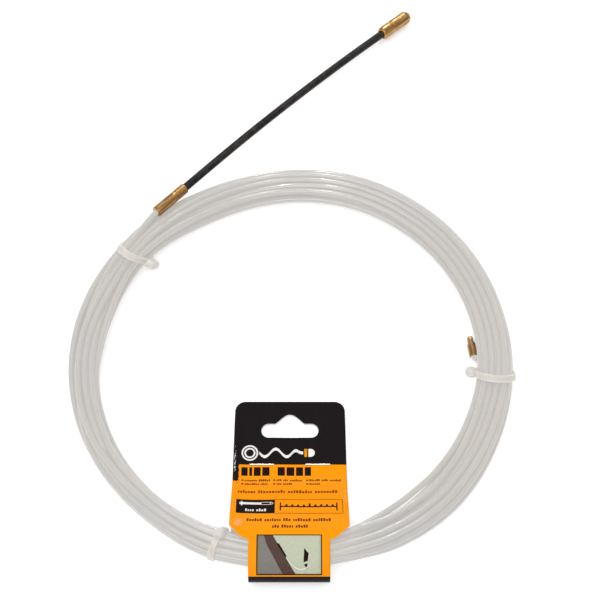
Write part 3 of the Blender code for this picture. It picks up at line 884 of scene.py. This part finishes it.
class Sheet:
    """Maps (x, distance down the card) to the folded card's surface."""

    def __init__(self):
        self.line = [Vector(point) for point in card_profile()]
        self.far = [0.0]
        for a, b in zip(self.line, self.line[1:]):
            self.far.append(self.far[-1] + (b - a).length)
        self.length = self.far[-1]

    def at(self, s):
        """(y, z) and the outward normal (y, z) at a distance down the sheet."""
        index = int(np.searchsorted(self.far, s)) - 1
        index = min(max(index, 0), len(self.line) - 2)
        a, b = self.line[index], self.line[index + 1]
        t = (s - self.far[index]) / max(1e-9, self.far[index + 1] - self.far[index])
        before = self.line[max(0, index - 1)]
        after = self.line[min(len(self.line) - 1, index + 2)]
        slope_a = (b - before).normalized()
        slope_b = (after - a).normalized()
        slope = (slope_a * (1.0 - t) + slope_b * t).normalized()
        return a.lerp(b, t), Vector((slope.y, -slope.x))

    def down(self, y):
        """Distance down the front at which the sheet reaches y."""
        for index in range(len(self.line) - 1):
            a, b = self.line[index], self.line[index + 1]
            if b.x <= y <= a.x:
                t = (a.x - y) / max(1e-9, a.x - b.x)
                return self.far[index] + t * (self.far[index + 1] - self.far[index])
        return self.length

    def point(self, x, s, lift):
        place, normal = self.at(s)
        lift = lift + self.curl(x, place.x, s)
        return Vector((x, place.x + normal.x * lift, place.y + normal.y * lift))

    def curl(self, x, y, s):
        """The handled card: its left edge lifts and its top bows a little."""
        if s > 0.5 * self.length:
            return 0.0
        down = CARD_TOP_Y - y
        above_fold = y - CARD_STIFF_Y
        edge = 0.9 * smooth((-x - 19.0) / 8.0) ** 2 * smooth(down / 20.0) * smooth(above_fold / 12.0)
        wave = 0.10 * math.sin(0.31 * x + 0.05 * y) * smooth(down / 10.0)
        return edge + wave * smooth(above_fold / 20.0)


SHEET = Sheet()


def card_half_width(y):
    """Half width of the card at a height, without its rounded top corners."""
    if y <= CARD_BAND_Y:
        return CARD_BAND_HALF
    if y <= CARD_SHOULDER_Y:
        t = (y - CARD_BAND_Y) / (CARD_SHOULDER_Y - CARD_BAND_Y)
        return CARD_BAND_HALF + (CARD_WIDE_HALF - CARD_BAND_HALF) * t ** (1 / 1.5)
    t = (y - CARD_SHOULDER_Y) / (CARD_TOP_Y - CARD_SHOULDER_Y)
    return CARD_WIDE_HALF + (CARD_TOP_HALF - CARD_WIDE_HALF) * t


def arc(cx, cy, radius, start, end, count):
    points = []
    for i in range(count + 1):
        a = math.radians(start + (end - start) * i / count)
        points.append((cx + radius * math.cos(a), cy + radius * math.sin(a)))
    return points


def hang_hole():
    """Outline (x, y) of the hang hole: a slot with a small dome over it."""
    r = 0.5 * HOLE_BRIM
    points = arc(HOLE_HALF - r, HOLE_LOW_Y + r, r, -90, 90, 16)
    for i in range(33):
        t = -1.0 + 2.0 * i / 32
        dome = HOLE_DOME * math.cos(0.5 * math.pi * t) ** 1.25
        points.append((-HOLE_DOME_HALF * t, HOLE_LOW_Y + HOLE_BRIM + dome))
    points += arc(-HOLE_HALF + r, HOLE_LOW_Y + r, r, 90, 270, 16)
    return points


def card_outline():
    """Outline of the unfolded card in (x, s): front, fold and back."""
    low = CARD_TOP_Y - CARD_CORNER
    side = arc(CARD_TOP_HALF - CARD_CORNER, low, CARD_CORNER, 90, 0, 12)
    for start, end in ((low, CARD_SHOULDER_Y), (CARD_SHOULDER_Y, CARD_BAND_Y)):
        for i in range(1, 9):
            y = start + (end - start) * i / 8
            side.append((card_half_width(y), y))
    right = [(x, SHEET.down(y)) for x, y in side]
    right += [(x, SHEET.length - s) for x, s in reversed(right)]
    return right + [(-x, s) for x, s in reversed(right)]


def flat_mesh(loops):
    """bmesh of flat polygons in (x, s), each an outline and its holes."""
    bm = bmesh.new()
    for loop_set in loops:
        edges = []
        for loop in loop_set:
            verts = [bm.verts.new((x, s, 0.0)) for x, s in loop]
            for a, b in zip(verts, verts[1:] + verts[:1]):
                edges.append(bm.edges.new((a, b)))
        bmesh.ops.triangle_fill(bm, edges=edges, use_beauty=True)
    return bm


def slice_mesh(bm, axis, step):
    """Cuts the flat mesh into strips about step wide along an axis."""
    places = [v.co[axis] for v in bm.verts]
    low = min(places)
    high = max(places)
    normal = Vector((1.0 - axis, axis, 0.0))
    count = int((high - low) / step)
    for i in range(1, count):
        at = low + (high - low) * i / count
        geometry = bm.verts[:] + bm.edges[:] + bm.faces[:]
        bmesh.ops.bisect_plane(bm, geom=geometry, dist=1e-5, plane_co=normal * at, plane_no=normal)


def wrap(name, loops, lift, thickness, material):
    """Wraps flat outlines round the card, lifted off its middle line."""
    bm = flat_mesh(loops)
    slice_mesh(bm, 1, SHEET_STEP)
    slice_mesh(bm, 0, SHEET_STEP_X)
    for face in bm.faces:
        if face.normal.z > 0.0:
            face.normal_flip()
    uv = bm.loops.layers.uv.new("print")
    for face in bm.faces:
        for loop in face.loops:
            loop[uv].uv = (loop.vert.co.x * MM, loop.vert.co.y * MM)
    for vert in bm.verts:
        vert.co = spot(SHEET.point(vert.co.x, vert.co.y, lift))
    mesh = bpy.data.meshes.new(name)
    bm.to_mesh(mesh)
    bm.free()
    mesh.materials.append(material)
    mesh.shade_smooth()
    obj = new_object(name, mesh)
    solid = obj.modifiers.new("thickness", "SOLIDIFY")
    solid.thickness = thickness * MM
    solid.offset = 0.0
    return obj


def card_print():
    """Coated card: black head, orange body, black round the fold and on the back."""
    n = Nodes("card_print", (0.95, 0.30, 0.01), 0.4, specular=INK_SPECULAR)
    uv = n.node("ShaderNodeUVMap", uv_map="print").outputs["UV"]
    part = n.node("ShaderNodeSeparateXYZ", {"Vector": uv})
    x = part.outputs["X"]
    s = part.outputs["Y"]
    edge_noise = n.noise(uv, 900.0, 3.0)
    # Along the worn left edge the black reaches raggedly down into the orange.
    frayed = n.math("MULTIPLY_ADD", edge_noise, 0.0016, -0.0244)
    reach = n.math("MULTIPLY_ADD", n.noise(uv, 420.0, 4.0, 0.7), 0.010, 0.004)
    drift = n.math("MULTIPLY", n.math("LESS_THAN", x, frayed), reach)
    below = n.math("GREATER_THAN", n.math("SUBTRACT", s, drift), SHEET.down(CARD_SPLIT_Y) * MM)
    above = n.math("LESS_THAN", s, SHEET.down(CARD_DARK_Y) * MM)
    mottle = n.spread(n.noise(n.place(), 1300.0, 3.0))
    orange_ink = n.mix(mottle, (0.85, 0.282, 0.001), (0.93, 0.27, 0.002))
    black_ink = n.mix(mottle, (0.008, 0.006, 0.007), (0.012, 0.009, 0.010))
    n.link(n.mix(n.math("MULTIPLY", below, above), black_ink, orange_ink), "Base Color")
    n.link(n.spread(n.noise(n.place(), 900.0, 3.0), 0.34, 0.46), "Roughness")
    n.link(n.bump(edge_noise, 0.00002, 0.6), "Normal")
    return n.material


def board():
    """Unprinted inside and cut edges of the card: fibrous off-white board."""
    n = Nodes("card_board", (0.72, 0.70, 0.66), 0.75)
    fibre = n.noise(n.place((1.0, 3.0, 1.0)), 1500.0, 4.0, 0.6)
    n.link(n.mix(n.spread(fibre), (0.66, 0.64, 0.60), (0.76, 0.745, 0.71)), "Base Color")
    n.link(n.bump(fibre, 0.00003, 0.5), "Normal")
    return n.material


def make_card():
    hole = [(x, SHEET.down(y)) for x, y in hang_hole()]
    back_hole = [(x, SHEET.length - s) for x, s in reversed(hole)]
    card = wrap("card_sheet", [[card_outline(), hole, back_hole]], 0.0, CARD_THICK, card_print())
    card.data.materials.append(board())
    card.modifiers["thickness"].material_offset = 1
    card.modifiers["thickness"].material_offset_rim = 1
    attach(card, "card")
    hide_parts("hang_card")


# ---- print on the card's front: shapes in (x, s), no lettering ----
def rectangle(x0, x1, y0, y1):
    top = SHEET.down(max(y0, y1))
    low = SHEET.down(min(y0, y1))
    return [[(x0, top), (x0, low), (x1, low), (x1, top)]]


def circle(x, s, outer, inner):
    return [arc(x, s, outer, 0, 360, 40)[:-1], arc(x, s, inner, 0, 360, 32)[:-1]]


def marks(x0, x1, y, height, seed, word=(3, 9)):
    """A row of small upright marks that stands in for a line of small print."""
    rng = np.random.default_rng(seed)
    made = []
    x = x0
    while x < x1 - 0.3:
        for _ in range(int(rng.integers(*word))):
            wide = height * rng.uniform(0.38, 0.62)
            if x + wide > x1:
                break
            drop = 0.0 if rng.uniform() < 0.4 else 0.28 * height
            made.append(rectangle(x, x + wide, y + 0.5 * height - drop, y - 0.5 * height))
            x += wide + 0.22 * height
        x += 0.55 * height
    return made


def pictogram():
    """Sign in the card's head: a coil, its wavy leader and bullet tip, and the tip's band."""
    s = SHEET.down(-46.5)
    upper = []
    lower = []
    for i in range(41):
        x = -14.2 + 20.4 * i / 40
        wave = 1.9 * math.sin(2.0 * math.pi * (x + 14.2) / 10.2) * (1.0 - smooth((x - 1.0) / 5.0))
        upper.append((x, s + wave - 0.75))
        lower.append((x, s + wave + 0.75))
    nose = arc(9.6, s, 2.0, 90, -90, 16) + [(8.6, s - 2.0), (8.6, s + 2.0)]
    band = [(6.7, s + 2.0), (8.1, s + 2.0), (8.1, s - 2.0), (6.7, s - 2.0)]
    coil = [circle(-18.6, s, 3.9, 3.1), circle(-18.6, s, 2.6, 1.8)]
    return coil + [[upper + lower[::-1]], [nose]], [[band]]


def title():
    """Two groups of solid blocks."""
    blocks = []
    for x, widths in ((-22.4, (2.9, 1.3, 3.1, 3.3)), (-5.6, (3.3, 3.6, 3.2, 2.9))):
        for wide in widths:
            blocks.append(rectangle(x, x + wide, -53.6, -58.0))
            x += wide + 0.8
    return blocks


def small_print():
    """Two rows of marks in three columns, and two centred rows lower down."""
    rows = []
    for row, y in enumerate((-60.5, -62.6)):
        columns = ((-22.2, -9.0, -9.6), (-7.6, 6.4, 1.8), (7.6, 23.6, 14.6))
        for column, (start, *ends) in enumerate(columns):
            rows.append(rectangle(start, start + 0.9, y + 0.4, y - 0.4))
            rows += marks(start + 1.5, ends[row], y, 1.15, 10 + 3 * row + column)
    rows += marks(-19.0, 19.6, -84.2, 1.55, 41, (3, 8))
    rows += marks(-7.6, 8.2, -87.6, 1.45, 42, (3, 6))
    return rows


def panel():
    """Dark panel with the drawn leader, and the framed length scale beside it."""
    top, low = -72.3, -80.6
    leader_y = -74.6
    scale_y = -76.6
    blacks = [rectangle(-24.0, -6.6, top, low)]
    browns = [rectangle(-6.6, 24.0, y + 0.12, y - 0.12) for y in (top, low)]
    browns.append(rectangle(23.8, 24.05, top, low))
    whites = []
    for x0, x1, y0, y1 in (
            (-22.6, -12.6, 0.7, -0.7), (-21.9, -21.2, 1.3, -1.3),
            (-12.6, -8.2, 0.85, 0.6), (-12.6, -8.2, -0.6, -0.85)):
        whites.append(rectangle(x0, x1, leader_y + y0, leader_y + y1))
    whites.append(circle(-8.1, SHEET.down(leader_y), 0.8, 0.5))
    whites += marks(-19.8, -9.6, -78.6, 1.5, 51, (3, 6))
    blacks.append(rectangle(-4.4, 21.6, scale_y + 0.35, scale_y - 0.35))
    for x in (-4.4, 21.0):
        blacks.append(rectangle(x, x + 0.6, scale_y + 2.4, scale_y - 2.4))
    for i in range(1, 10):
        x = -4.4 + 2.6 * i
        blacks.append(rectangle(x, x + 0.9, scale_y + (2.0 if i % 5 == 0 else 1.3), scale_y))
    return blacks, browns, whites


def picture():
    """A beam across a pale wall with an opening, and the tape let into it."""
    left, right, top, low = -14.4, 14.4, -91.6, -108.6
    border = [rectangle(left, right, top, low)]
    left, right, top, low = left + 0.45, right - 0.45, top - 0.4, low + 0.4
    high_s = SHEET.down(top)
    tall = SHEET.down(low) - high_s

    def shape(*corners):
        """Outline from corners (u, v) that run 0 to 1 across and down the picture."""
        return [[(left + (right - left) * u, high_s + tall * v) for u, v in corners]]

    wall = [rectangle(left, right, top, low)]
    shade = [shape((0.0, 0.0), (0.0, 1.0), (0.41, 1.0), (0.11, 0.0))]
    beam = [shape((0.10, 0.0), (0.15, 0.26), (0.40, 1.0), (0.60, 1.0), (0.40, 0.46), (0.24, 0.0))]
    dark = [
        shape((0.30, 0.20), (0.44, 0.58), (0.46, 0.55), (0.34, 0.22)),
        shape((0.735, 0.34), (0.725, 0.70), (0.79, 0.66), (0.805, 0.48)),
        shape((0.73, 0.75), (0.785, 0.87), (0.785, 0.73))]
    line = []
    for i in range(13):
        t = i / 12
        line.append((0.46 + 0.36 * t, 0.60 + 0.42 * math.sin(math.pi * (0.12 + 0.60 * t)) - 0.16))
    under = [(u, v + 0.025) for u, v in reversed(line)]
    return border, wall, shade, beam, dark, [shape(*line, *under)]


def painted_glare():
    """Painted glare: pale flecks of bare board along the left edge and by the left shoulder, drawn like
    chipped lamination.
    """
    rng = np.random.default_rng(71)
    glare_flecks = []
    for middle_x, middle_y, spread_x, spread_y, count, size in (
            (-25.4, -49.5, 0.35, 6.5, 40, 0.32), (-22.9, -85.6, 1.9, 1.7, 90, 0.20),
            (25.3, -70.0, 0.3, 3.5, 22, 0.22)):
        for _ in range(count):
            x = middle_x + spread_x * rng.uniform(-1.0, 1.0)
            s = SHEET.down(middle_y + spread_y * rng.uniform(-1.0, 1.0))
            long = size * rng.uniform(0.5, 1.5)
            thin = long * rng.uniform(0.2, 0.5)
            tip_x = x + rng.uniform(-0.5, 0.5) * thin
            glare_flecks.append([[
                (x - thin, s), (tip_x, s + long), (x + thin, s + 0.3 * long), (tip_x, s - long)]])
    return glare_flecks


def print_card():
    """Everything printed on the front, and the painted glare flecks, in thin layers one over another."""
    white = ink("ink_white", (0.80, 0.79, 0.76))
    black = ink("ink_black", (0.012, 0.006, 0.004))
    sign, band = pictogram()
    panel_blacks, panel_browns, panel_whites = panel()
    border, wall, shade, beam, dark, line = picture()
    layers = [
        ("print_frame", border, 0, black),
        ("print_wall", wall, 1, ink("ink_wall", (0.48, 0.51, 0.385))),
        ("print_shade", shade, 2, ink("ink_shade", (0.20, 0.19, 0.17))),
        ("print_beam", beam, 3, ink("ink_beam", (0.085, 0.052, 0.043))),
        ("print_dark", dark, 4, black),
        ("print_line", line, 5, white),
        ("print_black", title() + panel_blacks, 0, black),
        ("print_brown", small_print() + panel_browns, 0, ink("ink_brown", (0.12, 0.030, 0.005))),
        ("print_rust", marks(-23.6, 23.4, -67.3, 1.75, 31, (4, 11)), 0,
         ink("ink_rust", (0.22, 0.055, 0.006))),
        ("print_white", sign + panel_whites, 1, white),
        ("print_orange", band, 1, ink("ink_orange", (0.85, 0.282, 0.001))),
        # Painted glare: pale flecks that stand in for sheen on the card's edges.
        ("print_painted_glare", painted_glare(), 2, board()),
    ]
    for name, shapes, level, material in layers:
        lift = 0.5 * CARD_THICK + PRINT_STEP * (1 + level)
        print_piece = wrap(name, shapes, lift, PRINT_THICK, material)
        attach(print_piece, "card")


# ---- stage ----
def make_floor():
    bpy.ops.mesh.primitive_plane_add(size=30.0)
    floor = bpy.context.active_object
    floor.name = "floor"
    floor.data.materials.append(floor_white())


def area_light(name, place, size_x, size_y, power):
    """Soft light, placed in metres from the ring's centre and aimed at it."""
    light = bpy.data.lights.new(name, "AREA")
    light.shape = "RECTANGLE"
    light.size = size_x
    light.size_y = size_y
    light.energy = power
    lamp = new_object(name, light)
    lamp.location = RING + Vector(place)
    lamp.rotation_euler = (RING - lamp.location).to_track_quat("-Z", "Y").to_euler()


def make_light():
    world = bpy.data.worlds.new("studio")
    world.use_nodes = True
    tree = world.node_tree
    # Dim round the horizon, bright overhead.
    height = tree.nodes.new("ShaderNodeSeparateXYZ")
    where = tree.nodes.new("ShaderNodeTexCoord")
    tree.links.new(where.outputs["Generated"], height.inputs["Vector"])
    ramp = tree.nodes.new("ShaderNodeMapRange")
    ramp.interpolation_type = "SMOOTHSTEP"
    for socket, value in (
            ("From Min", 0.05), ("From Max", 0.75), ("To Min", 0.38), ("To Max", 0.74)):
        ramp.inputs[socket].default_value = value
    tree.links.new(height.outputs["Z"], ramp.inputs["Value"])
    tree.links.new(ramp.outputs["Result"], tree.nodes["Background"].inputs["Color"])
    bpy.context.scene.world = world
    area_light("overhead", (-0.25, -0.55, 1.5), 1.5, 1.1, 14.5)
    area_light("window_left", (-0.11, 1.3, 0.85), 0.022, 0.8, 3.4)
    area_light("window_right", (0.11, 1.3, 0.85), 0.022, 0.8, 3.4)


def make_camera():
    camera = new_object("camera", bpy.data.cameras.new("camera"))
    camera.data.lens = CAMERA_LENS
    camera.data.sensor_width = 36.0
    up = math.radians(CAMERA_ELEVATION)
    back = Vector((0.0, -math.cos(up), math.sin(up))) * CAMERA_DISTANCE
    camera.location = spot(CAMERA_AIM + back)
    camera.rotation_euler = (math.radians(90.0 - CAMERA_ELEVATION), 0.0, 0.0)
    camera.data.clip_start = 0.01
    bpy.context.scene.camera = camera


knots = spring_knots()
# Brass colours: the metal, then the dark used for tarnish and for painted reflection bands.
leader_brass = ((0.55, 0.325, 0.125), (0.25, 0.13, 0.045))
eyelet_brass = ((0.46, 0.27, 0.11), (0.20, 0.11, 0.045))
tape = make_tape(milky_nylon())
make_ferrule(brass("brass_ferrule", FERRULE_END - FERRULE_START, *leader_brass))
make_spring(spring_steel(), knots)
make_tip(brass("brass_tip", knots[-1] - knots[-2], *leader_brass), knots)
eyelet = make_eyelet(brass("brass_eyelet", EYELET_END - EYELET_START, *eyelet_brass))
tie_material = tie_nylon()
for tie in TIES:
    make_tie(*tie, tie_material)
make_card()
print_card()
steel = staple_steel()
for staple_name in ("staple_left", "staple_right"):
    staple_mesh = frame["nodes"][staple_name].data
    for index in range(len(staple_mesh.materials)):
        staple_mesh.materials[index] = steel
spot(FERRULE_START)
make_floor()
make_light()
make_camera()
bpy.context.scene.view_settings.view_transform = "Standard"
